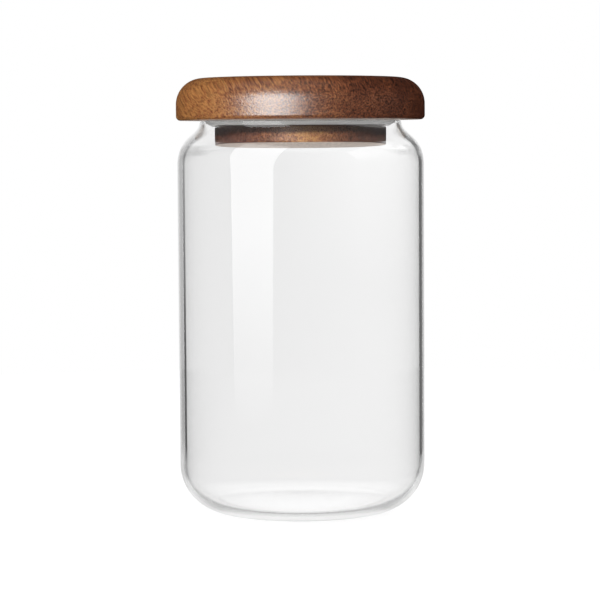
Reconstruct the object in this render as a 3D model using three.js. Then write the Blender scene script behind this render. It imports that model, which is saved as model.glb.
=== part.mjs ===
// Glass storage jar with a turned wooden stopper lid, in millimetres with +Z up.
// The origin is the centre of the base, on the surface that the jar stands on.
import * as THREE from "three";

// Glass
const BODY_RADIUS = 50; // outside of the straight side
const JAR_HEIGHT = 158.5; // base to the top of the rim
const GLASS_WALL = 2.2;
const BASE_THICKNESS = 3;
const CORNER_RADIUS = 19; // outside round between side and base
const CORNER_INSET = 3; // how much tighter the inside round is
const FOOT_WIDTH = 5; // flat ring that the jar stands on
const HOLLOW_DEPTH = 0.3; // hollow under the middle of the base
const MOUTH_RADIUS = 38.7; // inside of the neck at the rim
const SHOULDER_HEIGHT = 18; // top of the straight side to the top of the rim
const RIM_ROUND = 0.5; // both edges of the flat rim

// Shoulder curve: how far each end runs upright, as a share of its height
const SHOULDER_EASE = 0.7;
const NECK_EASE = 0.3;

// Wooden lid
const CAP_OVERHANG = 0.35; // how far the cap stands out past the side of the glass
const CAP_THICKNESS = 17;
const CAP_TOP_ROUND = 10.6;
const CAP_BOTTOM_ROUND = 1.8;
const PLUG_CLEARANCE = 4; // between plug and mouth, closed by the seal ring
const PLUG_DEPTH = 8.8; // how far the plug reaches below the cap
const PLUG_CHAMFER = 0.4;
const GROOVE_DEPTH = 1.8; // waist of the plug that the seal ring sits round

// Silicone seal ring
const SEAL_HEIGHT = 2.2;
const SEAL_LIP = 0.8; // upright edge that meets the glass
const SEAL_FOOT = 0.9; // how far the ring's underside stands out past the plug

// Clearance between pieces that are separate but meet
const FIT_GAP = 0.3;

// Facets
const SEGMENTS = 56;
const CURVE_STEPS = 4;
const SHOULDER_STEPS = 9;

const CAP_RADIUS = BODY_RADIUS + CAP_OVERHANG;
const CAP_UNDERSIDE = JAR_HEIGHT + FIT_GAP;
const PLUG_RADIUS = MOUTH_RADIUS - PLUG_CLEARANCE;
const GROOVE_RADIUS = PLUG_RADIUS - GROOVE_DEPTH;
const GROOVE_HEIGHT = SEAL_HEIGHT + 2 * FIT_GAP;
const QUARTER_TURN = Math.PI / 2;

// Turns a closed profile of radius and height round +Z.
function turned(name, profile, material) {
  const geometry = new THREE.LatheGeometry(profile, SEGMENTS);
  geometry.rotateX(QUARTER_TURN);
  const mesh = new THREE.Mesh(geometry, material);
  mesh.name = name;
  return mesh;
}

// Outer face of the shoulder, from the straight side up to the rim.
function shoulderCurve() {
  const neckRadius = MOUTH_RADIUS + GLASS_WALL;
  const bottom = JAR_HEIGHT - SHOULDER_HEIGHT;
  const top = JAR_HEIGHT - RIM_ROUND;
  const rise = top - bottom;
  return new THREE.CubicBezierCurve(
    new THREE.Vector2(BODY_RADIUS, bottom),
    new THREE.Vector2(BODY_RADIUS, bottom + SHOULDER_EASE * rise),
    new THREE.Vector2(neckRadius, top - NECK_EASE * rise),
    new THREE.Vector2(neckRadius, top),
  );
}

// Points of a curve moved inwards, square to it, by the wall's thickness.
function innerFace(curve) {
  const points = [];
  for (let step = 0; step <= SHOULDER_STEPS; step += 1) {
    const along = step / SHOULDER_STEPS;
    const tangent = curve.getTangent(along);
    const inwards = new THREE.Vector2(-tangent.y, tangent.x);
    points.push(curve.getPoint(along).addScaledVector(inwards, GLASS_WALL));
  }
  return points;
}

// One piece of blown glass: hollow foot, round corner, side, shoulder and polished rim.
function glassJar() {
  const footRadius = BODY_RADIUS - CORNER_RADIUS;
  const hollowRadius = footRadius - FOOT_WIDTH;
  const floorRound = CORNER_RADIUS - CORNER_INSET;
  const floorRadius = BODY_RADIUS - GLASS_WALL - floorRound;
  const rimRadius = MOUTH_RADIUS + GLASS_WALL - RIM_ROUND;
  const rimHeight = JAR_HEIGHT - RIM_ROUND;
  const shoulder = shoulderCurve();

  const outside = new THREE.Path();
  outside.moveTo(0, HOLLOW_DEPTH);
  outside.quadraticCurveTo(hollowRadius / 2, HOLLOW_DEPTH, hollowRadius, 0);
  outside.lineTo(footRadius, 0);
  outside.absarc(footRadius, CORNER_RADIUS, CORNER_RADIUS, -QUARTER_TURN, 0, false);

  const rim = new THREE.Path();
  rim.absarc(rimRadius, rimHeight, RIM_ROUND, 0, QUARTER_TURN, false);
  rim.absarc(MOUTH_RADIUS + RIM_ROUND, rimHeight, RIM_ROUND, QUARTER_TURN, Math.PI, false);

  const floor = new THREE.Path();
  floor.absarc(floorRadius, BASE_THICKNESS + floorRound, floorRound, 0, -QUARTER_TURN, true);
  floor.lineTo(0, BASE_THICKNESS);

  const profile = [
    ...outside.getPoints(CURVE_STEPS),
    ...shoulder.getPoints(SHOULDER_STEPS),
    ...rim.getPoints(CURVE_STEPS).slice(1, -1),
    ...innerFace(shoulder).reverse(),
    ...floor.getPoints(CURVE_STEPS),
  ];
  const glass = new THREE.MeshStandardMaterial({
    color: 0xeef1ef,
    roughness: 0.04,
    metalness: 0,
    transparent: true,
    opacity: 0.35,
  });
  return turned("glass_jar", profile, glass);
}

// Thick disc of wood with a full round over its top edge.
function lidCap() {
  const top = CAP_UNDERSIDE + CAP_THICKNESS;
  const outline = new THREE.Path();
  outline.moveTo(0, CAP_UNDERSIDE);
  outline.lineTo(CAP_RADIUS - CAP_BOTTOM_ROUND, CAP_UNDERSIDE);
  outline.absarc(
    CAP_RADIUS - CAP_BOTTOM_ROUND,
    CAP_UNDERSIDE + CAP_BOTTOM_ROUND,
    CAP_BOTTOM_ROUND,
    -QUARTER_TURN,
    0,
    false,
  );
  outline.absarc(
    CAP_RADIUS - CAP_TOP_ROUND,
    top - CAP_TOP_ROUND,
    CAP_TOP_ROUND,
    0,
    QUARTER_TURN,
    false,
  );
  outline.lineTo(0, top);
  const wood = new THREE.MeshStandardMaterial({ color: 0x87522f, roughness: 0.45, metalness: 0 });
  return turned("lid_cap", outline.getPoints(CURVE_STEPS), wood);
}

// Plug glued under the cap, with a waist that traps the seal ring against the cap.
function lidPlug() {
  const bottom = CAP_UNDERSIDE - PLUG_DEPTH;
  const grooveFloor = CAP_UNDERSIDE - GROOVE_HEIGHT;
  const outline = new THREE.Path();
  outline.moveTo(0, bottom);
  outline.lineTo(PLUG_RADIUS - PLUG_CHAMFER, bottom);
  outline.lineTo(PLUG_RADIUS, bottom + PLUG_CHAMFER);
  outline.lineTo(PLUG_RADIUS, grooveFloor);
  outline.lineTo(GROOVE_RADIUS, grooveFloor);
  outline.lineTo(GROOVE_RADIUS, CAP_UNDERSIDE);
  outline.lineTo(0, CAP_UNDERSIDE);
  const wood = new THREE.MeshStandardMaterial({ color: 0x7a4a2c, roughness: 0.5, metalness: 0 });
  return turned("lid_plug", outline.getPoints(CURVE_STEPS), wood);
}

// Ring in the plug's waist: an upright lip towards the glass, tapered to lead it into the mouth.
function sealRing() {
  const top = CAP_UNDERSIDE - FIT_GAP;
  const bottom = top - SEAL_HEIGHT;
  const bore = GROOVE_RADIUS + FIT_GAP;
  const lipRadius = MOUTH_RADIUS - FIT_GAP;
  const outline = new THREE.Path();
  outline.moveTo(bore, bottom);
  outline.lineTo(PLUG_RADIUS + SEAL_FOOT, bottom);
  outline.lineTo(lipRadius, top - SEAL_LIP);
  outline.lineTo(lipRadius, top);
  outline.lineTo(bore, top);
  outline.lineTo(bore, bottom);
  const silicone = new THREE.MeshStandardMaterial({
    color: 0xc4c6c4,
    roughness: 0.35,
    metalness: 0,
    transparent: true,
    opacity: 0.85,
  });
  return turned("seal_ring", outline.getPoints(CURVE_STEPS), silicone);
}

const jar = new THREE.Group();
jar.add(glassJar(), lidCap(), lidPlug(), sealRing());

export default jar;
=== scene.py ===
import math
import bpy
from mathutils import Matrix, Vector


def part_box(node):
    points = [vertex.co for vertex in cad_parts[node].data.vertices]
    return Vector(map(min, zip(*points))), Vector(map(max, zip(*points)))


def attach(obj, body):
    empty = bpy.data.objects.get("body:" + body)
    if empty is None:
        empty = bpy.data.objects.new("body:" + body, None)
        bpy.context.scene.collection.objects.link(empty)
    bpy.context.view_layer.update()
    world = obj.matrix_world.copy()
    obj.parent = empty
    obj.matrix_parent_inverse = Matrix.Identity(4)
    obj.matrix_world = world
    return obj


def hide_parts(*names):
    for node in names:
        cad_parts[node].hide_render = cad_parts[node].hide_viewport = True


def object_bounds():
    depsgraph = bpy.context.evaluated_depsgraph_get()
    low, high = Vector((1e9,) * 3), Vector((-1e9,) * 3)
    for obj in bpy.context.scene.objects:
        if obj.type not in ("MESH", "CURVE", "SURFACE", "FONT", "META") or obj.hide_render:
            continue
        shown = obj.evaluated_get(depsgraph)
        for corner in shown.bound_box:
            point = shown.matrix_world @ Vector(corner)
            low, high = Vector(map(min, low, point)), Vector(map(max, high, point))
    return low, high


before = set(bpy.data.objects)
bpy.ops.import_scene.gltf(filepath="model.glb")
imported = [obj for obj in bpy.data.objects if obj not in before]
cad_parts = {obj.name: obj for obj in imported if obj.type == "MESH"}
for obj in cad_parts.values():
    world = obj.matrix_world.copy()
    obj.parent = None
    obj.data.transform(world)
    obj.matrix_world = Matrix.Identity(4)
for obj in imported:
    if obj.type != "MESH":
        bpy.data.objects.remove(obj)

from types import SimpleNamespace

import bmesh
import bpy
from mathutils import Matrix, Vector
from mathutils.geometry import interpolate_bezier

cad_low, cad_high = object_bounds()

# Sizes in metres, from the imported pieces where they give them

glass_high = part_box("glass_jar")[1]
cap_low, cap_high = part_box("lid_cap")
plug_low, plug_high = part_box("lid_plug")
seal_low, seal_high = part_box("seal_ring")

# Clearance between pieces that are separate but meet
FIT_GAP = 0.0003

BODY_RADIUS = glass_high.x
JAR_HEIGHT = glass_high.z
GLASS_WALL = 0.0022
BASE_THICKNESS = 0.003
CORNER_RADIUS = 0.019
CORNER_INSET = 0.003
FOOT_WIDTH = 0.005
HOLLOW_DEPTH = 0.0003
FLOOR_DISC_RADIUS = 0.0334
FLOOR_DISC_RISE = 0.0005
FLOOR_DISC_EASE = 0.0006
MOUTH_RADIUS = seal_high.x + FIT_GAP
SHOULDER_HEIGHT = 0.018
RIM_ROUND = 0.0005

# How far each end of the shoulder runs upright, as a share of its height
SHOULDER_EASE = 0.7
NECK_EASE = 0.3

CAP_RADIUS = cap_high.x
CAP_TOP_ROUND = 0.0106
CAP_BOTTOM_ROUND = 0.0018
PLUG_RADIUS = plug_high.x
PLUG_EDGE_ROUND = 0.0005
GROOVE_DEPTH = 0.0018
GROOVE_FLOOR = seal_low.z - FIT_GAP

# The ring's top all but meets the cap, as it does once it is squeezed
SEAL_TOP_GAP = 0.00004
SEAL_TOP = cap_low.z - SEAL_TOP_GAP
SEAL_LIP = 0.0008
SEAL_FOOT = 0.0009
SEAL_ROUND = 0.0003

# Smoothness of the turned meshes
TURN_STEPS = 192
ROUND_STEPS = 20
SHOULDER_STEPS = 40
MERGE_DISTANCE = 1e-7


# Shapes

def fillet(before, corner, after, radius):
    """Points of an arc of that radius that rounds the corner between two straight runs."""
    corner = Vector(corner)
    towards_before = (Vector(before) - corner).normalized()
    towards_after = (Vector(after) - corner).normalized()
    half_angle = towards_before.angle(towards_after) / 2
    reach = radius / math.tan(half_angle)
    bisector = (towards_before + towards_after).normalized()
    centre = corner + bisector * radius / math.sin(half_angle)
    first = corner + towards_before * reach - centre
    last = corner + towards_after * reach - centre
    sweep = first.angle_signed(last)
    points = []
    for step in range(ROUND_STEPS + 1):
        turn = Matrix.Rotation(-sweep * step / ROUND_STEPS, 2)
        points.append(centre + turn @ first)
    return points


def rounded(corners, radii, closed=False):
    """An outline of (radius, height) corners with each corner rounded to its own radius."""
    count = len(corners)
    points = []
    for index, radius in enumerate(radii):
        if radius == 0:
            points.append(Vector(corners[index]))
            continue
        before = corners[index - 1]
        after = corners[(index + 1) % count]
        points.extend(fillet(before, corners[index], after, radius))
    if closed:
        points.append(points[0].copy())
    return points


def placed(name, form):
    """A new object in the scene that has the finished form as its mesh."""
    mesh = bpy.data.meshes.new(name)
    form.to_mesh(mesh)
    form.free()
    made = bpy.data.objects.new(name, mesh)
    bpy.context.scene.collection.objects.link(made)
    return made


def turned(name, profile):
    """A smooth object made by turning an outline round +Z."""
    form = bmesh.new()
    points = [form.verts.new((radius, 0, height)) for radius, height in profile]
    edges = [form.edges.new(pair) for pair in zip(points, points[1:])]
    bmesh.ops.spin(
        form,
        geom=points + edges,
        axis=(0, 0, 1),
        cent=(0, 0, 0),
        angle=math.tau,
        steps=TURN_STEPS,
        use_merge=True,
    )
    bmesh.ops.remove_doubles(form, verts=form.verts, dist=MERGE_DISTANCE)
    bmesh.ops.recalc_face_normals(form, faces=form.faces)
    for face in form.faces:
        face.smooth = True
    return placed(name, form)


def shoulder_faces():
    """Outer and inner face of the shoulder, both from the straight side up to the rim."""
    neck_radius = MOUTH_RADIUS + GLASS_WALL
    bottom = JAR_HEIGHT - SHOULDER_HEIGHT
    top = JAR_HEIGHT - RIM_ROUND
    rise = top - bottom
    outer = interpolate_bezier(
        Vector((BODY_RADIUS, bottom)),
        Vector((BODY_RADIUS, bottom + SHOULDER_EASE * rise)),
        Vector((neck_radius, top - NECK_EASE * rise)),
        Vector((neck_radius, top)),
        SHOULDER_STEPS,
    )
    inner = []
    for index, point in enumerate(outer):
        if index in (0, len(outer) - 1):
            along = Vector((0, 1))
        else:
            along = (outer[index + 1] - outer[index - 1]).normalized()
        inner.append(point + Vector((-along.y, along.x)) * GLASS_WALL)
    return outer, inner


def glass_profile():
    """Hollow foot, round corner, side, shoulder and rim, then back down inside to a raised disc."""
    foot_radius = BODY_RADIUS - CORNER_RADIUS
    hollow_radius = foot_radius - FOOT_WIDTH
    inner_radius = BODY_RADIUS - GLASS_WALL
    neck_radius = MOUTH_RADIUS + GLASS_WALL
    side_top = JAR_HEIGHT - SHOULDER_HEIGHT
    outer, inner = shoulder_faces()
    hollow = interpolate_bezier(
        Vector((0, HOLLOW_DEPTH)),
        Vector((hollow_radius / 3, HOLLOW_DEPTH)),
        Vector((hollow_radius * 2 / 3, HOLLOW_DEPTH / 3)),
        Vector((hollow_radius, 0)),
        ROUND_STEPS,
    )
    corner = fillet((0, 0), (BODY_RADIUS, 0), (BODY_RADIUS, side_top), CORNER_RADIUS)
    rim_outside = fillet((neck_radius, side_top), (neck_radius, JAR_HEIGHT), (0, JAR_HEIGHT), RIM_ROUND)
    rim_inside = fillet((neck_radius, JAR_HEIGHT), (MOUTH_RADIUS, JAR_HEIGHT), (MOUTH_RADIUS, 0), RIM_ROUND)
    rim = rim_outside[1:] + rim_inside[:-1]
    floor_corner = fillet(
        (inner_radius, side_top),
        (inner_radius, BASE_THICKNESS),
        (0, BASE_THICKNESS),
        CORNER_RADIUS - CORNER_INSET,
    )
    disc_foot = FLOOR_DISC_RADIUS + 2 * FLOOR_DISC_EASE
    floor_corner = [point for point in floor_corner if point.x > disc_foot]
    disc_top = BASE_THICKNESS + FLOOR_DISC_RISE
    disc_edge = interpolate_bezier(
        floor_corner[-1],
        floor_corner[-1] - Vector((FLOOR_DISC_EASE, 0)),
        Vector((FLOOR_DISC_RADIUS + FLOOR_DISC_EASE, disc_top)),
        Vector((FLOOR_DISC_RADIUS, disc_top)),
        ROUND_STEPS,
    )
    floor_centre = [Vector((0, disc_top))]
    return hollow + corner + outer + rim + inner[::-1] + floor_corner + disc_edge[1:] + floor_centre


def cap_profile():
    """Thick disc with a full round over its top edge."""
    corners = [
        (0, cap_low.z),
        (CAP_RADIUS, cap_low.z),
        (CAP_RADIUS, cap_high.z),
        (0, cap_high.z),
    ]
    return rounded(corners, [0, CAP_BOTTOM_ROUND, CAP_TOP_ROUND, 0])


def plug_profile():
    """Smaller disc with a waist for the ring under the cap."""
    groove_radius = PLUG_RADIUS - GROOVE_DEPTH
    corners = [
        (0, plug_low.z),
        (PLUG_RADIUS, plug_low.z),
        (PLUG_RADIUS, GROOVE_FLOOR),
        (groove_radius, GROOVE_FLOOR),
        (groove_radius, plug_high.z),
        (0, plug_high.z),
    ]
    return rounded(corners, [0, PLUG_EDGE_ROUND, PLUG_EDGE_ROUND, 0, 0, 0])


def seal_profile():
    """Ring with an upright lip towards the glass, tapered below it."""
    bore = PLUG_RADIUS - GROOVE_DEPTH + FIT_GAP
    lip_radius = seal_high.x
    corners = [
        (bore, seal_low.z),
        (PLUG_RADIUS + SEAL_FOOT, seal_low.z),
        (lip_radius, seal_high.z - SEAL_LIP),
        (lip_radius, SEAL_TOP),
        (bore, SEAL_TOP),
    ]
    return rounded(corners, [0, SEAL_ROUND, SEAL_ROUND, SEAL_ROUND, 0], closed=True)


# Node helpers

# Depths count whole bounces, so this tells none from one or more
HALF_BOUNCE = 0.5


class Nodes:
    """Adds nodes to one node tree and links them by socket."""

    def __init__(self, tree):
        self.tree = tree

    def add(self, kind, inputs=None, **settings):
        """A new node, with each input set to a value or linked to a socket."""
        made = self.tree.nodes.new(kind)
        for name, value in settings.items():
            setattr(made, name, value)
        for key, value in (inputs or {}).items():
            if isinstance(value, bpy.types.NodeSocket):
                self.tree.links.new(value, made.inputs[key])
            else:
                made.inputs[key].default_value = value
        return made

    def end(self, shader, kind="ShaderNodeOutputMaterial"):
        """Makes a shader node the surface of the tree."""
        self.add(kind, {"Surface": shader.outputs[0]})

    def maths(self, operation, first, second=0.0):
        made = self.add("ShaderNodeMath", {0: first, 1: second}, operation=operation)
        return made.outputs[0]

    def times(self, first, *others):
        """The product of numbers."""
        for other in others:
            first = self.maths("MULTIPLY", first, other)
        return first

    def largest(self, first, *others):
        """The largest of numbers."""
        for other in others:
            first = self.maths("MAXIMUM", first, other)
        return first

    def rest(self, share):
        """What a share leaves of one."""
        return self.maths("SUBTRACT", 1.0, share)

    def bounced(self, depth):
        """One for a ray that has bounced, going by one of its depths, and otherwise nothing."""
        return self.maths("GREATER_THAN", depth, HALF_BOUNCE)

    def distance(self, first, second):
        """How far apart two numbers are."""
        return self.maths("ABSOLUTE", self.maths("SUBTRACT", first, second))

    def vector(self, operation, first, second=(0, 0, 0), third=(0, 0, 0)):
        made = self.add("ShaderNodeVectorMath", {0: first, 1: second, 2: third}, operation=operation)
        return made.outputs["Value" if operation in ("DOT_PRODUCT", "LENGTH") else "Vector"]

    def axis(self, vector, name):
        """One number of a vector, by the name of its axis."""
        return self.add("ShaderNodeSeparateXYZ", {0: vector}).outputs[name]

    def turn(self, vector, angles):
        """A place turned round the three axes by these angles."""
        return self.add("ShaderNodeMapping", {"Vector": vector, "Rotation": angles}).outputs[0]

    def spread(self, value, low, high, start=0.0, end=1.0):
        """The value's place between low and high, as a number from start to end."""
        made = self.add("ShaderNodeMapRange", {
            "Value": value,
            "From Min": low,
            "From Max": high,
            "To Min": start,
            "To Max": end,
        })
        return made.outputs["Result"]

    def blend(self, factor, first, second):
        """A number between two others."""
        made = self.add("ShaderNodeMix", {"Factor": factor, "A": first, "B": second})
        return made.outputs["Result"]

    def mix(self, factor, first, second, blend="MIX"):
        """A colour between two others, or the first one with the second laid over it."""
        made = self.add(
            "ShaderNodeMix",
            {"Factor": factor, "A": first, "B": second},
            data_type="RGBA",
            blend_type=blend,
        )
        return made.outputs["Result"]

    def ramp(self, factor, stops):
        """A colour from stops of a position and a colour each."""
        made = self.add("ShaderNodeValToRGB", {"Fac": factor})
        elements = made.color_ramp.elements
        while len(elements) < len(stops):
            elements.new(1.0)
        for element, (position, colour) in zip(elements, stops):
            element.position = position
            element.color = (*colour, 1)
        return made.outputs["Color"]

    def noise(self, vector, scale, detail=2.0, roughness=0.5):
        """Noise stretched along each axis by its own scale, in features to the metre."""
        stretched = self.add("ShaderNodeMapping", {"Vector": vector, "Scale": scale}).outputs[0]
        made = self.add("ShaderNodeTexNoise", {
            "Vector": stretched,
            "Scale": 1.0,
            "Detail": detail,
            "Roughness": roughness,
        })
        return made.outputs


def grey(level):
    return (level, level, level, 1)


def new_material(name):
    """An empty material and the helper for its tree."""
    made = bpy.data.materials.new(name)
    made.use_nodes = True
    made.node_tree.nodes.clear()
    return made, Nodes(made.node_tree)


WHITE = grey(1)
BLACK = grey(0)

# Nearly all of a noise's values lie between these, and its middle is half way
NOISE_RANGE = (0.3, 0.7)
NOISE_MIDDLE = (0.5, 0.5, 0.5)


# Clear glass, with heights in metres, and facings from 0 for square on to 1 for edge on

GLASS_TINT = 0.965
GLASS_IOR = 1.47
CLEAR_TINT = 0.97

# How far a face leans out from the axis, or in towards it, to count as outer or inner
OUTWARD_LEAN = (0.1, 0.4)
INWARD_LEAN = (-0.1, -0.4)

# Where the left side's values give way to the right side's, going across and going up
RIGHT_FROM = (-0.02, 0.02)
ABOVE_CORNER = (0.018, 0.0215)


def glass_point(nodes):
    """Where a point of the glass is, which face it lies on and how it is seen."""
    geometry = nodes.add("ShaderNodeNewGeometry").outputs
    from_inside = geometry["Backfacing"]
    flip = nodes.spread(from_inside, 0, 1, 1, -1)
    outward = nodes.vector("NORMALIZE", nodes.vector("MULTIPLY", geometry["Position"], (1, 1, 0)))
    lean = nodes.times(nodes.vector("DOT_PRODUCT", geometry["Normal"], outward), flip)
    height = nodes.axis(geometry["Position"], "Z")
    side = nodes.spread(nodes.axis(geometry["Position"], "X"), *RIGHT_FROM)
    return SimpleNamespace(
        height=height,
        side=side,
        right=nodes.times(side, nodes.spread(height, *ABOVE_CORNER)),
        rise=nodes.times(nodes.axis(geometry["Normal"], "Z"), flip),
        outer=nodes.spread(lean, *OUTWARD_LEAN),
        inner=nodes.spread(lean, *INWARD_LEAN),
        from_inside=from_inside,
        facing=nodes.add("ShaderNodeLayerWeight").outputs["Facing"],
    )


# Facing of the line's middle, its half width and the softness of its edges
LINE_LEFT = 0.2625
LINE_RIGHT = 0.2760
LINE_HALF_LEFT = 0.0053
LINE_HALF_RIGHT = 0.0080
LINE_SOFTNESS = 0.0012
# Colour of the painted dark reflection line
PAINTED_LINE_TINT = 0.04

# Heights over which the line gets weaker, and how much of it is left there
LINE_CORNER = (0.002, 0.02)
LINE_CORNER_SHARE = 0.6
LINE_FOOT = 0.0208
LINE_FOOT_SHARE = 0.3
LINE_WHOLE_LEFT = 0.0275
LINE_WHOLE_RIGHT = 0.0245
LINE_UPPER = (0.07, 0.14)
LINE_UPPER_SHARE_LEFT = 0.65
LINE_SHOULDER = (0.146, 0.155)
LINE_SHOULDER_SHARE = 0.4


def painted_dark_line(nodes, point):
    """Painted dark reflection on the inner face: a dark line near the angle of total reflection, and
    further out on the right.
    """
    middle = nodes.blend(point.right, LINE_LEFT, LINE_RIGHT)
    half = nodes.blend(point.right, LINE_HALF_LEFT, LINE_HALF_RIGHT)
    past_edge = nodes.maths("SUBTRACT", nodes.distance(point.facing, middle), half)
    whole = nodes.blend(point.side, LINE_WHOLE_LEFT, LINE_WHOLE_RIGHT)
    upper_share = nodes.blend(point.right, LINE_UPPER_SHARE_LEFT, 1.0)
    return nodes.times(
        nodes.spread(past_edge, LINE_SOFTNESS, -LINE_SOFTNESS),
        point.inner,
        point.from_inside,
        nodes.spread(point.height, *LINE_CORNER, start=LINE_CORNER_SHARE),
        nodes.spread(point.height, LINE_FOOT, whole, start=LINE_FOOT_SHARE),
        nodes.spread(point.height, *LINE_UPPER, start=1.0, end=upper_share),
        nodes.spread(point.height, *LINE_SHOULDER, start=1.0, end=LINE_SHOULDER_SHARE),
    )


# Facings from which the outer face is clear at the outline
EDGE_FROM_LEFT = 0.72
EDGE_FROM_RIGHT = 0.79
EDGE_TO = 0.95

# Rise of the face, heights and facings at which the shoulder is clearer, and by how much
SHOULDER_RISE = (0.1, 0.3)
SHOULDER_FROM = (0.13, 0.14)
SHOULDER_UNTIL = (0.1485, 0.1445)
SHOULDER_FACING = (0.5, 0.8)
SHOULDER_CLEAR = 0.8

# Heights and facings at which the lower corner is clearer, and by how much
CORNER_UNTIL = (0.033, 0.022)
CORNER_FROM_LEFT = 0.64
CORNER_FROM_RIGHT = 0.77
CORNER_TO_LEFT = 0.78
CORNER_TO_RIGHT = 0.83
CORNER_CLEAR = 0.6

# The outer face just above the floor
TOE_UNTIL = (0.0055, 0.003)
TOE_CLEAR = 0.8


def clear_outline(nodes, point):
    """How far the outer face fades into the light near the outline, on the shoulder and at the foot."""
    edge_from = nodes.blend(point.right, EDGE_FROM_LEFT, EDGE_FROM_RIGHT)
    edge = nodes.spread(point.facing, edge_from, EDGE_TO)
    shoulder = nodes.times(
        nodes.spread(point.facing, *SHOULDER_FACING, end=SHOULDER_CLEAR),
        nodes.spread(point.rise, *SHOULDER_RISE),
        nodes.spread(point.height, *SHOULDER_FROM),
        nodes.spread(point.height, *SHOULDER_UNTIL),
    )
    corner_from = nodes.blend(point.right, CORNER_FROM_LEFT, CORNER_FROM_RIGHT)
    corner_to = nodes.blend(point.right, CORNER_TO_LEFT, CORNER_TO_RIGHT)
    corner = nodes.times(
        nodes.spread(point.facing, corner_from, corner_to, end=CORNER_CLEAR),
        nodes.spread(point.height, *CORNER_UNTIL),
    )
    toe = nodes.spread(point.height, *TOE_UNTIL, end=TOE_CLEAR)
    return nodes.times(point.outer, nodes.largest(edge, shoulder, corner, toe))


UNDERSIDE_RISE = (-0.2, -0.6)
UNDERSIDE_UNTIL = (0.02, 0.012)
UNDERSIDE_CLEAR = 0.85


def clear_underside(nodes, point):
    """How far the underside takes in the light of the floor that it stands on."""
    return nodes.times(
        nodes.spread(point.rise, *UNDERSIDE_RISE, end=UNDERSIDE_CLEAR),
        nodes.spread(point.height, *UNDERSIDE_UNTIL),
        point.from_inside,
    )


NECK_FROM = (0.1445, 0.149)
NECK_BELOW_RIM = (0.95, 0.8)
NECK_ENTERING = (0.40, 0.55)
NECK_ENTERING_CLEAR = 0.9
NECK_EDGE = (0.64, 0.72)
NECK_LEAVING = (0.29, 0.36)


def clear_neck(nodes, point):
    """How far the thin neck lets light straight through, where it enters the wall and where it leaves."""
    edge = nodes.times(point.outer, nodes.spread(point.facing, *NECK_EDGE))
    entering = nodes.times(
        nodes.spread(point.facing, *NECK_ENTERING, end=NECK_ENTERING_CLEAR),
        nodes.rest(edge),
    )
    leaving = nodes.spread(point.facing, *NECK_LEAVING)
    return nodes.times(
        nodes.spread(point.height, *NECK_FROM),
        nodes.spread(point.rise, *NECK_BELOW_RIM),
        nodes.blend(point.from_inside, entering, leaving),
    )


def clear_glass():
    """Clear glass with a painted dark reflection line on its inner face and an outline that fades into the
    light.
    """
    made, nodes = new_material("clear_glass")
    point = glass_point(nodes)
    line = painted_dark_line(nodes, point)
    # The painted dark reflection line turns the glass dark and metallic where it lies
    glass = nodes.add("ShaderNodeBsdfPrincipled", {
        "Base Color": nodes.mix(line, grey(GLASS_TINT), grey(PAINTED_LINE_TINT)),
        "Metallic": line,
        "Roughness": 0.0,
        "IOR": GLASS_IOR,
        "Transmission Weight": 1.0,
    })
    let_through = nodes.add("ShaderNodeBsdfTransparent", {"Color": grey(CLEAR_TINT)})
    share = nodes.largest(
        clear_outline(nodes, point),
        clear_underside(nodes, point),
        clear_neck(nodes, point),
        nodes.add("ShaderNodeLightPath").outputs["Is Shadow Ray"],
    )
    nodes.end(nodes.add("ShaderNodeMixShader", {
        0: share,
        1: glass.outputs[0],
        2: let_through.outputs[0],
    }))
    return made


# Wood, with the scales of its figure across, along and through the fibre

WANDER_SCALE = (30, 9, 30)
WANDER_REACH = (0.012, 0.012, 0.012)
BAND_SCALE = (75, 6, 90)
BAND_DETAIL = 3.0
STREAK_SCALE = (1300, 34, 1300)
STREAK_DETAIL = 2.0
FIGURE_ROUGHNESS = 0.6
PORE_SCALE = (1700, 130, 1700)
PORE_DETAIL = 1.0

# Tones run from 0, the darkest wood, to 1, the palest
PALE_TONE = 0.86
DARK_TONE = 0.08
BAND_TONES = (-0.14, 0.14)
STREAK_TONES = (-0.45, 0.35)
WOOD_COLOURS = [
    (0.0, (0.085, 0.023, 0.010)),
    (0.25, (0.155, 0.043, 0.014)),
    (0.5, (0.245, 0.080, 0.025)),
    (0.75, (0.34, 0.130, 0.036)),
    (1.0, (0.41, 0.172, 0.046)),
]

# Streaks are weaker in dark wood, and pores stronger
STREAK_FROM_TONE = (0.2, 0.7)
STREAK_IN_DARK = 0.5
PORE_FROM_TONE = (0.3, 0.7)
PORE_IN_DARK = 0.9
PORE_IN_PALE = 0.4
PORE_SHADES = [
    (0.36, (0.2, 0.17, 0.15)),
    (0.46, (0.88, 0.88, 0.88)),
    (0.56, (1.1, 1.1, 1.1)),
    (0.7, (1.4, 1.4, 1.4)),
]
PORE_BUMP = 0.28
PORE_DEPTH = 0.0003
WOOD_ROUGHNESS = (0.31, 0.38)

# Rise of the faces that show the fibres lengthways, and of the undersides, which get a pale painted
# reflection
LEVEL_RISE = (0.9, 0.99)
UNDER_RISE = (-0.95, -0.99)
UNDERSIDE_SHEEN = (0.76, 0.61, 0.51, 1)
UNDERSIDE_SHEEN_PORES = 0.4

# Painted shade: the plug is darkened above a given height, standing in for the shade under the cap and ring
SHADOW_REACH = 0.001
SHADOW_SHADE = 0.8


def along_fibres(nodes, level, dip):
    """A place measured along fibres that dip by that angle and wander a little."""
    straight = nodes.turn(level, (dip, 0, 0))
    wander = nodes.vector("SUBTRACT", nodes.noise(straight, WANDER_SCALE)["Color"], NOISE_MIDDLE)
    return nodes.vector("MULTIPLY_ADD", wander, WANDER_REACH, straight)


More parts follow.
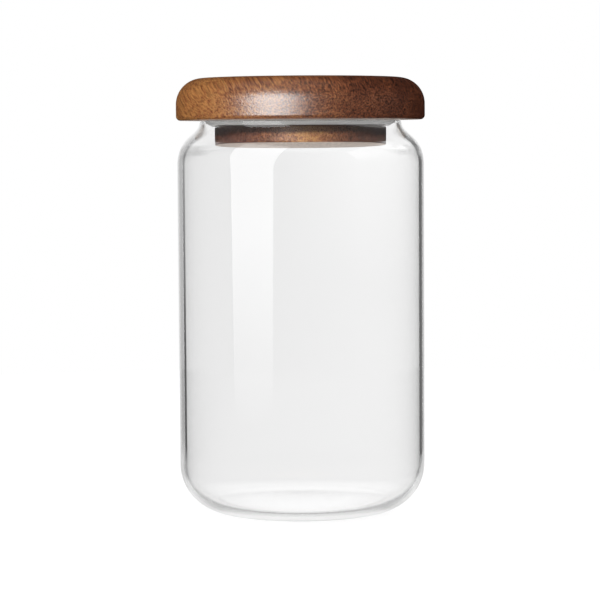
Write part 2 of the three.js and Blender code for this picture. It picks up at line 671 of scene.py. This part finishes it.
def figure(nodes, grain):
    """Bands, streaks and pores at a place measured along the fibres."""
    bands = nodes.noise(grain, BAND_SCALE, BAND_DETAIL, FIGURE_ROUGHNESS)["Fac"]
    streaks = nodes.noise(grain, STREAK_SCALE, STREAK_DETAIL, FIGURE_ROUGHNESS)["Fac"]
    pores = nodes.noise(grain, PORE_SCALE, PORE_DETAIL)["Fac"]
    return bands, streaks, pores


def acacia(name, fibre_turn, fibre_dip, pale_at, pale_reach, gloss, tint=None, shadow_from=None):
    """Oiled acacia: streaks along the fibre, and pores that show as fine specks on the end grain.

    The wood is palest at one place across the fibre and darkens over its reach to both sides. Where a
    height is given for the painted shadow, the wood above it is darkened with painted shade, which stands
    in for the shade under the cap and ring.
    """
    made, nodes = new_material(name)
    place = nodes.add("ShaderNodeTexCoord").outputs["Object"]
    up = nodes.axis(nodes.add("ShaderNodeNewGeometry").outputs["Normal"], "Z")
    level = nodes.turn(place, (0, 0, fibre_turn))
    side_grain = along_fibres(nodes, level, fibre_dip)
    top_grain = along_fibres(nodes, level, 0.0)
    on_top = nodes.spread(nodes.maths("ABSOLUTE", up), *LEVEL_RISE)
    bands, streaks, pores = [
        nodes.blend(on_top, on_side, on_level)
        for on_side, on_level in zip(figure(nodes, side_grain), figure(nodes, top_grain))
    ]
    from_pale = nodes.distance(nodes.axis(side_grain, "X"), pale_at)
    pale = nodes.spread(from_pale, 0.0, pale_reach, PALE_TONE, DARK_TONE)
    tone = nodes.maths("ADD", pale, nodes.spread(bands, *NOISE_RANGE, *BAND_TONES))
    streak = nodes.times(
        nodes.spread(streaks, *NOISE_RANGE, *STREAK_TONES),
        nodes.spread(pale, *STREAK_FROM_TONE, start=STREAK_IN_DARK),
    )
    colour = nodes.ramp(nodes.maths("ADD", tone, streak), WOOD_COLOURS)
    specks = nodes.ramp(pores, PORE_SHADES)
    speck_share = nodes.spread(pale, *PORE_FROM_TONE, PORE_IN_DARK, PORE_IN_PALE)
    colour = nodes.mix(speck_share, colour, specks, "MULTIPLY")
    if tint:
        colour = nodes.mix(1.0, colour, (*tint, 1), "MULTIPLY")
    if shadow_from:
        # Painted shade above the given height, standing in for the shade under the cap and ring
        painted_shadow = nodes.spread(nodes.axis(place, "Z"), shadow_from, shadow_from + SHADOW_REACH, end=SHADOW_SHADE)
        colour = nodes.mix(painted_shadow, colour, BLACK)
    # Undersides are paled as a painted reflection of the bright floor and backdrop seen at a grazing angle
    underside_sheen = nodes.mix(UNDERSIDE_SHEEN_PORES, UNDERSIDE_SHEEN, specks, "MULTIPLY")
    colour = nodes.mix(nodes.spread(up, *UNDER_RISE), colour, underside_sheen)
    bump = nodes.add("ShaderNodeBump", {"Strength": PORE_BUMP, "Distance": PORE_DEPTH, "Height": pores})
    nodes.end(nodes.add("ShaderNodeBsdfPrincipled", {
        "Base Color": colour,
        "Roughness": nodes.spread(streaks, *NOISE_RANGE, *WOOD_ROUGHNESS),
        "Specular IOR Level": gloss,
        "Normal": bump.outputs[0],
    }))
    return made


# Silicone

CLOUD_SCALE = (140, 140, 140)
CLOUD_DETAIL = 3.0
CLOUD_COLOURS = [
    (0.3, (0.80, 0.80, 0.79)),
    (0.7, (0.90, 0.89, 0.88)),
]
SKIN_SCALE = (2500, 2500, 2500)
SKIN_BUMP = 0.15
SKIN_DEPTH = 0.0001
SKIN_ROUGHNESS = (0.3, 0.42)
SILICONE_CLEAR = 0.4
SILICONE_IOR = 1.41


def silicone():
    """Milky silicone, a little cloudy, with the fine matt skin of its mould."""
    made, nodes = new_material("silicone")
    place = nodes.add("ShaderNodeTexCoord").outputs["Object"]
    cloud = nodes.noise(place, CLOUD_SCALE, CLOUD_DETAIL)["Fac"]
    skin = nodes.noise(place, SKIN_SCALE)["Fac"]
    bump = nodes.add("ShaderNodeBump", {"Strength": SKIN_BUMP, "Distance": SKIN_DEPTH, "Height": skin})
    nodes.end(nodes.add("ShaderNodeBsdfPrincipled", {
        "Base Color": nodes.ramp(cloud, CLOUD_COLOURS),
        "Roughness": nodes.spread(skin, *NOISE_RANGE, *SKIN_ROUGHNESS),
        "Transmission Weight": SILICONE_CLEAR,
        "IOR": SILICONE_IOR,
        "Normal": bump.outputs[0],
    }))
    return made


# Object

jar_glass = turned("jar_glass", glass_profile())
jar_glass.data.materials.append(clear_glass())
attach(jar_glass, "jar")
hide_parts("glass_jar")

cap_wood = turned("cap_wood", cap_profile())
cap_wood.data.materials.append(acacia(
    "acacia_cap",
    fibre_turn=math.radians(-20),
    fibre_dip=math.radians(-24),
    pale_at=-0.05,
    pale_reach=0.075,
    gloss=1.0,
))
cap_wood.visible_glossy = False
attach(cap_wood, "lid")
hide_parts("lid_cap")

# Height of the plug's lower part, below the painted shade of the cap and ring
PLUG_UNSHADED_HEIGHT = 0.0021

plug_wood = turned("plug_wood", plug_profile())
plug_wood.data.materials.append(acacia(
    "acacia_plug",
    fibre_turn=math.radians(170),
    fibre_dip=math.radians(-5),
    # The plug's pale band down its middle is a painted highlight
    pale_at=0.003,
    pale_reach=0.02,
    gloss=0.5,
    tint=(1.15, 1.4, 1.9),
    shadow_from=plug_low.z + PLUG_UNSHADED_HEIGHT,
))
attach(plug_wood, "lid")
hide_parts("lid_plug")

seal = turned("seal_silicone", seal_profile())
seal.data.materials.append(silicone())
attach(seal, "seal")
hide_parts("seal_ring")


# Backdrop, whose brightness through the glass runs from left to right

BACKDROP_LEFT = 0.965
BACKDROP_RIGHT = 1.03
BACKDROP_REACH = 0.045
BACKDROP_UPPER = 0.07
UPPER_RISE = (-0.06, -0.005)
UPPER_ACROSS = (-0.01, 0.04)

# Room that the jar stands in, as light and as a reflection
ROOM_LIGHT = 0.5
ROOM_IN_FRONT = 0.3
ROOM_BEHIND = 0.55
ROOM_REACH = 0.6


def add_world():
    """White backdrop behind the jar from any side, and a dimmer room that lights and reflects in it."""
    world = bpy.data.worlds.new("studio")
    world.use_nodes = True
    world.node_tree.nodes.clear()
    nodes = Nodes(world.node_tree)
    path = nodes.add("ShaderNodeLightPath").outputs
    direction = nodes.add("ShaderNodeTexCoord").outputs["Generated"]
    across = nodes.axis(direction, "X")
    reflected = nodes.bounced(path["Glossy Depth"])
    turned_back = nodes.largest(reflected, nodes.bounced(path["Diffuse Depth"]))
    through = nodes.times(path["Is Transmission Ray"], nodes.rest(turned_back))
    seen = nodes.largest(path["Is Camera Ray"], through)
    level = nodes.spread(across, -BACKDROP_REACH, BACKDROP_REACH, BACKDROP_LEFT, BACKDROP_RIGHT)
    upper = nodes.times(
        nodes.spread(nodes.axis(direction, "Z"), *UPPER_RISE, end=BACKDROP_UPPER),
        nodes.spread(across, *UPPER_ACROSS),
    )
    level = nodes.maths("ADD", level, upper)
    backdrop = nodes.add("ShaderNodeBackground", {
        "Color": WHITE,
        "Strength": nodes.blend(path["Is Camera Ray"], level, 1.0),
    })
    mirrored = nodes.spread(nodes.axis(direction, "Y"), -ROOM_REACH, ROOM_REACH, ROOM_IN_FRONT, ROOM_BEHIND)
    room = nodes.add("ShaderNodeBackground", {
        "Color": WHITE,
        "Strength": nodes.blend(reflected, ROOM_LIGHT, mirrored),
    })
    choice = nodes.add("ShaderNodeMixShader", {0: seen, 1: room.outputs[0], 2: backdrop.outputs[0]})
    nodes.end(choice, "ShaderNodeOutputWorld")
    bpy.context.scene.world = world


# Floor

FLOOR_RADIUS = 0.6
FLOOR_SIDES = 96
FLOOR_DROP = 0.0001
FLOOR_GLOW = 0.9
FLOOR_TINT = 0.3
FLOOR_UNSEEN_TINT = 0.8
FLOOR_REACH = 0.07
FLOOR_MIRRORED = 0.42
FLOOR_MIRRORED_FROM = (0.06, 0.1)

# Brighter floor under the base, and the shade where the foot meets it
BASE_GLOW = 0.35
BASE_GLOW_RADII = (0.055, 0.02)
CONTACT_SHADE = 0.14
CONTACT_REACH = 0.01
CONTACT_RADII = (0.031, 0.035)
CONTACT_SAMPLES = 8


def floor_white():
    """White floor that keeps the object's shadow and otherwise reads as the background."""
    made, nodes = new_material("floor_white")
    path = nodes.add("ShaderNodeLightPath").outputs
    direct = nodes.rest(nodes.bounced(path["Diffuse Depth"]))
    through = nodes.times(path["Is Transmission Ray"], direct)
    seen = nodes.largest(path["Is Camera Ray"], path["Is Glossy Ray"], through)
    position = nodes.add("ShaderNodeNewGeometry").outputs["Position"]
    across = nodes.axis(position, "X")
    radius = nodes.vector("LENGTH", position)
    # Through the glass the floor runs on into the backdrop, and is brighter under the base
    beyond = nodes.spread(across, -FLOOR_REACH, FLOOR_REACH, BACKDROP_LEFT, BACKDROP_RIGHT)
    beyond = nodes.maths("ADD", beyond, nodes.spread(radius, *BASE_GLOW_RADII, end=BASE_GLOW))
    mirrored = nodes.times(
        nodes.bounced(path["Glossy Depth"]),
        nodes.spread(radius, *FLOOR_MIRRORED_FROM),
    )
    beyond = nodes.blend(mirrored, beyond, FLOOR_MIRRORED)
    open_sky = nodes.add(
        "ShaderNodeAmbientOcclusion",
        {"Distance": CONTACT_REACH},
        samples=CONTACT_SAMPLES,
    ).outputs["AO"]
    contact = nodes.times(nodes.rest(open_sky), nodes.spread(radius, *CONTACT_RADII), CONTACT_SHADE)
    near = nodes.maths("SUBTRACT", FLOOR_GLOW, contact)
    tint = nodes.mix(seen, grey(FLOOR_UNSEEN_TINT), grey(FLOOR_TINT))
    matt = nodes.add("ShaderNodeBsdfDiffuse", {"Color": nodes.mix(through, tint, BLACK)})
    glow = nodes.add("ShaderNodeEmission", {
        "Color": WHITE,
        "Strength": nodes.times(seen, nodes.blend(through, near, beyond)),
    })
    nodes.end(nodes.add("ShaderNodeAddShader", {0: matt.outputs[0], 1: glow.outputs[0]}))
    return made


def add_floor():
    form = bmesh.new()
    bmesh.ops.create_circle(form, cap_ends=True, radius=FLOOR_RADIUS, segments=FLOOR_SIDES)
    floor = placed("floor", form)
    floor.location.z = -FLOOR_DROP
    floor.data.materials.append(floor_white())
    floor.visible_glossy = False
    return floor


# Tent and lamps

TENT_RADIUS = 1.6
TENT_SIDES = 48
TENT_RINGS = 24
TENT_GLOW = 0.5
TENT_TOP_GLOW = 0.08
TENT_TOP = (0.6, 1.3)
LAMP_DISTANCE = 0.8


def only_for(lamp, things):
    """Lets a lamp or a glowing surface light only these objects."""
    lit = bpy.data.collections.new(lamp.name + "_lights")
    for thing in things:
        lit.objects.link(thing)
    lamp.light_linking.receiver_collection = lit


def tent_cloth():
    """Pale glow that gets dimmer towards the top of the tent."""
    made, nodes = new_material("tent_cloth")
    height = nodes.axis(nodes.add("ShaderNodeNewGeometry").outputs["Position"], "Z")
    nodes.end(nodes.add("ShaderNodeEmission", {
        "Color": WHITE,
        "Strength": nodes.spread(height, *TENT_TOP, TENT_GLOW, TENT_TOP_GLOW),
    }))
    made.cycles.emission_sampling = "NONE"
    return made


def add_tent():
    """A pale tent round the scene, which shows only in the gloss of the glass."""
    form = bmesh.new()
    bmesh.ops.create_uvsphere(form, u_segments=TENT_SIDES, v_segments=TENT_RINGS, radius=TENT_RADIUS)
    tent = placed("tent", form)
    tent.data.materials.append(tent_cloth())
    tent.visible_camera = False
    tent.visible_diffuse = False
    tent.visible_transmission = False
    tent.visible_shadow = False
    only_for(tent, [jar_glass])


def softbox(name, azimuth, elevation, width, height, radiance, lights, distance=LAMP_DISTANCE, fade=0.0):
    """A rectangular lamp that faces the jar and lights only the objects that are named for it.

    Azimuth and elevation are in degrees, and azimuth runs from the camera's side towards +X. The lamp
    dims towards its lower edge over the share of its height that is given as its fade.
    """
    turn = math.radians(azimuth)
    lift = math.radians(elevation)
    away = Vector((math.sin(turn) * math.cos(lift), -math.cos(turn) * math.cos(lift), math.sin(lift)))
    middle = Vector((0, 0, (cad_low.z + cad_high.z) / 2))
    light = bpy.data.lights.new(name, "AREA")
    light.shape = "RECTANGLE"
    light.size = width
    light.size_y = height
    light.energy = radiance * math.pi * width * height
    if fade:
        light.use_nodes = True
        nodes = Nodes(light.node_tree)
        place = nodes.add("ShaderNodeNewGeometry").outputs["Parametric"]
        strength = nodes.spread(nodes.axis(place, "Y"), 0.0, fade)
        nodes.tree.links.new(strength, nodes.tree.nodes["Emission"].inputs["Strength"])
    lamp = bpy.data.objects.new(name, light)
    lamp.location = middle + away * distance
    lamp.rotation_mode = "QUATERNION"
    lamp.rotation_quaternion = (-away).to_track_quat("-Z", "Y")
    lamp.visible_camera = False
    lamp.visible_transmission = False
    bpy.context.scene.collection.objects.link(lamp)
    only_for(lamp, lights)
    return lamp


def add_lamps():
    """Window and side lamp for the glass, and lamps of their own for the lid."""
    softbox(
        "window",
        azimuth=-45,
        elevation=24,
        width=0.64,
        height=1.12,
        radiance=3.5,
        fade=0.186,
        lights=[jar_glass],
    )
    key = softbox(
        "key",
        azimuth=-34,
        elevation=20,
        width=0.36,
        height=0.75,
        radiance=5.0,
        fade=0.2,
        lights=[cap_wood, seal, floor],
    )
    key.visible_glossy = False
    gloss = softbox(
        "gloss",
        azimuth=-25,
        elevation=16,
        width=0.66,
        height=0.8,
        radiance=6.8,
        lights=[cap_wood],
    )
    gloss.data.shape = "ELLIPSE"
    gloss.data.color = (0.8, 0.95, 1.0)
    gloss.visible_diffuse = False
    softbox(
        "sky",
        azimuth=-60,
        elevation=75,
        distance=0.9,
        width=0.8,
        height=0.8,
        radiance=0.4,
        lights=[cap_wood],
    )
    edge = softbox(
        "edge",
        azimuth=85,
        elevation=15,
        width=0.6,
        height=0.6,
        radiance=1.5,
        lights=[cap_wood, seal],
    )
    edge.visible_glossy = False
    softbox(
        "low",
        azimuth=-18,
        elevation=22,
        width=0.34,
        height=0.22,
        radiance=21,
        lights=[plug_wood],
    )
    softbox(
        "side",
        azimuth=95,
        elevation=28,
        width=1.4,
        height=0.5,
        radiance=1.5,
        fade=0.6,
        lights=[jar_glass],
    )


# Camera

CAMERA_DISTANCE = 0.97
CAMERA_HEIGHT = 0.151
CAMERA_ASIDE = -0.0006
CAMERA_PITCH = math.radians(3.848)
CAMERA_ROLL = math.radians(-0.35)
FOCAL_PIXELS = 2388
FRAME_PIXELS = 600
SENSOR_MILLIMETRES = 36


def add_camera():
    data = bpy.data.cameras.new("camera")
    data.sensor_width = SENSOR_MILLIMETRES
    data.lens = SENSOR_MILLIMETRES * FOCAL_PIXELS / FRAME_PIXELS
    camera = bpy.data.objects.new("camera", data)
    camera.matrix_world = (
        Matrix.Translation((CAMERA_ASIDE, -CAMERA_DISTANCE, CAMERA_HEIGHT))
        @ Matrix.Rotation(math.pi / 2 - CAMERA_PITCH, 4, "X")
        @ Matrix.Rotation(CAMERA_ROLL, 4, "Z")
    )
    bpy.context.scene.collection.objects.link(camera)
    bpy.context.scene.camera = camera


floor = add_floor()
add_world()
add_tent()
add_lamps()
add_camera()
bpy.context.scene.view_settings.view_transform = "Standard"
